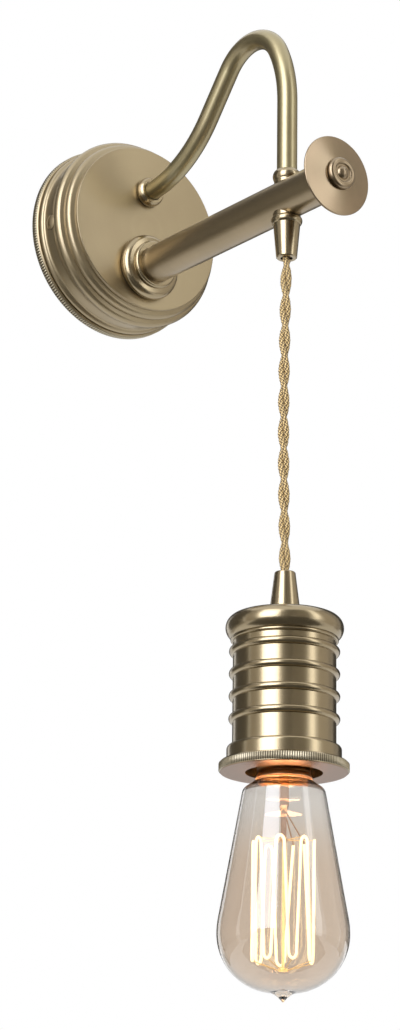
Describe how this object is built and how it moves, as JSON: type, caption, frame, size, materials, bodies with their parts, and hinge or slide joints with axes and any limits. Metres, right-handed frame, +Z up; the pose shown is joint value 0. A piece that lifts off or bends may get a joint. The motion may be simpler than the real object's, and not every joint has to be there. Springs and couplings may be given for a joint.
{
  "type": "hanging pendant wall sconce",
  "caption": "Wall light with a stepped round rose, straight arm, swan-neck tube and twisted flex that hangs a ribbed lampholder with a pear-shaped filament bulb.",
  "frame": {"origin": "centre of the wall plate's back face, where it lies on the wall", "axes": "+Y into the wall, so the light stands out along -Y; +Z up; +X to the right for someone who faces the wall"},
  "size_m": [0.1082, 0.2037, 0.5198],
  "materials": {
    "aged_brass": "satin, aged",
    "contact_brass": "plain",
    "plated_steel": "zinc plated",
    "flex_braid": "braided, silky",
    "pale_plastic": "matt",
    "dark_insert": "matt",
    "lamp_cap": "plain",
    "lamp_insulator": "glassy",
    "lamp_glass": "clear, warm tint",
    "stem_glass": "clear",
    "lamp_wire": "drawn",
    "filament": "glowing"
  },
  "bodies": {
    "fixture": {"wall_plate": "aged_brass", "cover": "aged_brass", "side_screws": "aged_brass", "terminal_block": "pale_plastic", "terminal_screws": "plated_steel", "earth_tag": "contact_brass", "earth_screw": "plated_steel", "arm_tube": "aged_brass", "arm_collar": "aged_brass", "arm_bush": "plated_steel", "arm_nipple": "plated_steel", "arm_washer": "plated_steel", "arm_nut": "plated_steel", "end_bush": "plated_steel", "end_disc": "aged_brass", "finial": "aged_brass", "swan_neck": "aged_brass", "neck_collar": "aged_brass", "neck_nut": "plated_steel", "upper_collar": "aged_brass", "outlet_collar": "aged_brass", "outlet_nipple": "plated_steel", "outlet_cone": "aged_brass", "outlet_grip": "pale_plastic", "inner_flex": "flex_braid"},
    "flex_mouth": {"flex_bend": "flex_braid"},
    "pendant": {"flex": "flex_braid", "holder_cone": "aged_brass", "holder_nipple": "plated_steel", "holder_nut": "plated_steel", "holder_cap": "aged_brass", "holder_body": "aged_brass", "shade_ring": "aged_brass", "holder_insert": "dark_insert", "screw_shell": "contact_brass", "contact_tongue": "contact_brass", "holder_terminals": "contact_brass"},
    "lamp_contact": {"bulb_contact": "contact_brass"},
    "lamp": {"bulb_insulator": "lamp_insulator", "bulb_cap": "lamp_cap", "bulb_glass": "lamp_glass", "bulb_stem": "stem_glass", "bulb_hooks": "lamp_wire", "bulb_filament": "filament", "bulb_leads": "lamp_wire"}
  },
  "joints": [
    {"name": "swing_side", "type": "hinge", "parent": "fixture", "child": "flex_mouth", "pos_m": [0, -0.15656, -0.0569], "axis": [0, 1, 0], "range_deg": [-25, 25]},
    {"name": "swing_fore_aft", "type": "hinge", "parent": "flex_mouth", "child": "pendant", "pos_m": [0, -0.15656, -0.0569], "axis": [1, 0, 0], "range_deg": [-25, 20]},
    {"name": "bulb_travel", "type": "slide", "parent": "pendant", "child": "lamp_contact", "axis": [0, 0, -1], "range_m": [0, 0.0272]},
    {"name": "bulb_turn", "type": "hinge", "parent": "lamp_contact", "child": "lamp", "pos_m": [0, -0.15656, -0.32], "axis": [0, 0, -1], "range_deg": [0, 2700]}
  ],
  "couplings": [
    {"joint": "bulb_travel", "follows": "bulb_turn", "m_per_rad": 0.00057614}
  ]
}
